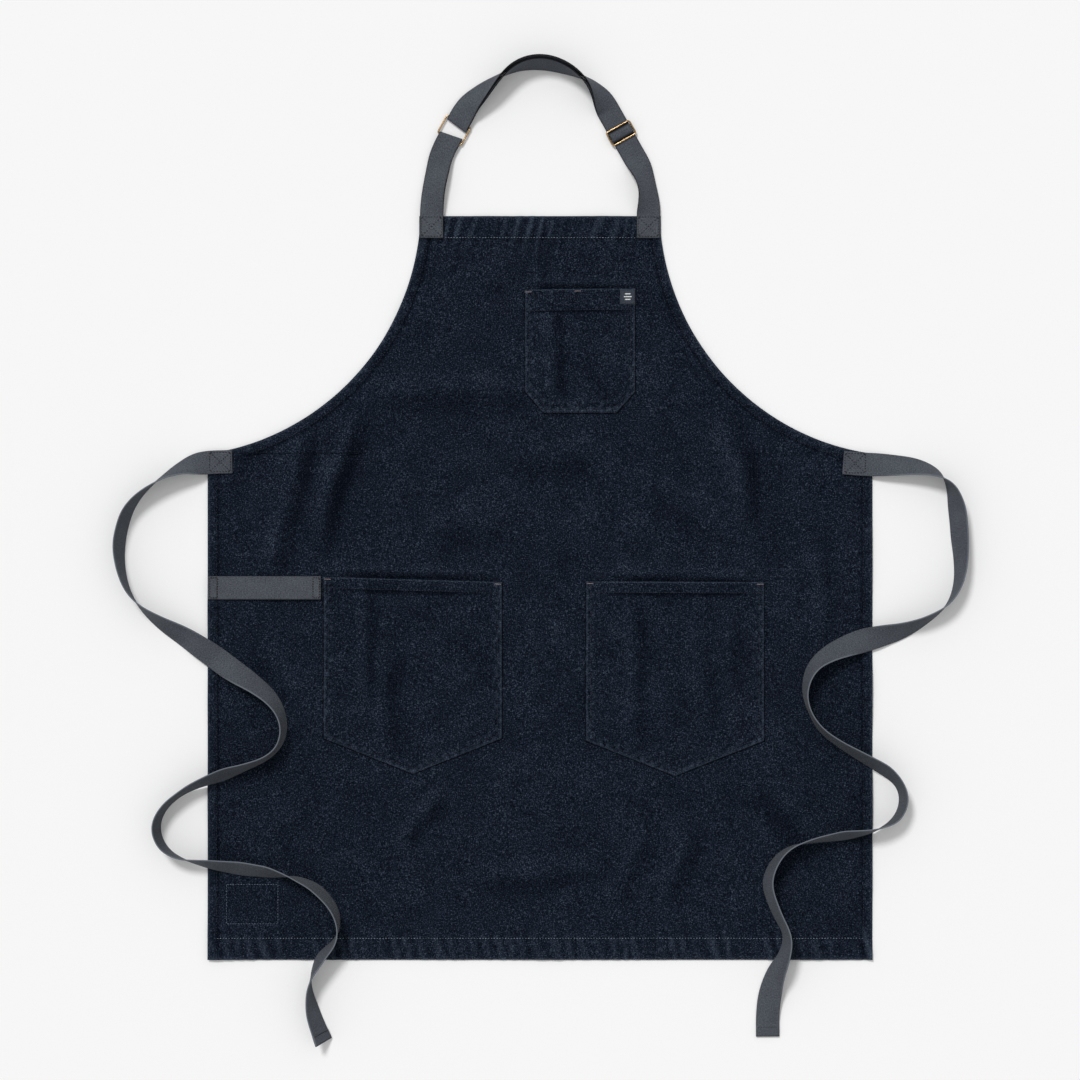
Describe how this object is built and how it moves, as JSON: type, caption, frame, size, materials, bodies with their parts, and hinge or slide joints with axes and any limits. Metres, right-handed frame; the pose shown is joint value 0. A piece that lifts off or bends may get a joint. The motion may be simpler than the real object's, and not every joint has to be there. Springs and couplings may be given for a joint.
{
  "type": "bib apron",
  "caption": "Bib apron laid flat: denim body with chest and hip pockets, adjustable webbing neck loop with ring and slide, towel loop and free waist ties.",
  "frame": {"origin": "middle of the apron's length and width without the waist ties, on the surface it lies on", "axes": "+X to the right across the front, +Y from the bottom hem to the neck, +Z out of the front face"},
  "size_m": [0.9271, 1.075, 0.0282],
  "materials": {
    "denim": "matt dark indigo twill",
    "webbing": "matt grey cotton webbing",
    "topstitch": "blue-grey sewing thread",
    "bartack": "pinkish-grey sewing thread",
    "label_dark": "near-black woven label",
    "label_cloth": "plain pale woven label",
    "brass": "polished wire with light wear"
  },
  "bodies": {
    "apron": {"body_panel": "denim", "hem_stitching": "topstitch", "back_label": "label_cloth", "back_label_stitching": "topstitch", "chest_pocket": "denim", "chest_pocket_stitching": "topstitch", "pocket_label": "label_dark", "pocket_label_stitching": "topstitch", "hip_pocket_left": "denim", "hip_pocket_right": "denim", "hip_pocket_left_stitching": "topstitch", "hip_pocket_right_stitching": "topstitch", "pocket_bartacks": "bartack", "towel_loop": "webbing", "towel_loop_stitching": "bartack", "anchor_strap_end": "webbing", "neck_strap_end": "webbing", "neck_strap_stitching": "topstitch", "waist_tie_stitching": "topstitch", "waist_tie_left": "webbing", "waist_tie_right": "webbing"},
    "neck_loop": {"anchor_strap": "webbing", "anchor_strap_fold": "webbing", "neck_strap_upper": "webbing", "neck_strap_under": "webbing"},
    "ring": {"neck_ring": "brass", "neck_strap_fold": "webbing"},
    "slide": {"slide_frame": "brass", "slide_bar": "brass", "slide_strap_hump": "webbing"}
  },
  "joints": [
    {"name": "neck_loop_fold", "type": "hinge", "parent": "apron", "child": "neck_loop", "pos_m": [0, 0.3188, 0.0054], "axis": [1, 0, 0], "range_deg": [0, 150]},
    {"name": "ring_tilt", "type": "hinge", "parent": "neck_loop", "child": "ring", "pos_m": [-0.09877, 0.40224, 0.0028], "axis": [0.878, -0.4787, 0], "range_deg": [0, 40]},
    {"name": "slide_travel", "type": "slide", "parent": "neck_loop", "child": "slide", "axis": [-0.4909, 0.8712, 0], "range_m": [-0.018, 0.018]}
  ]
}
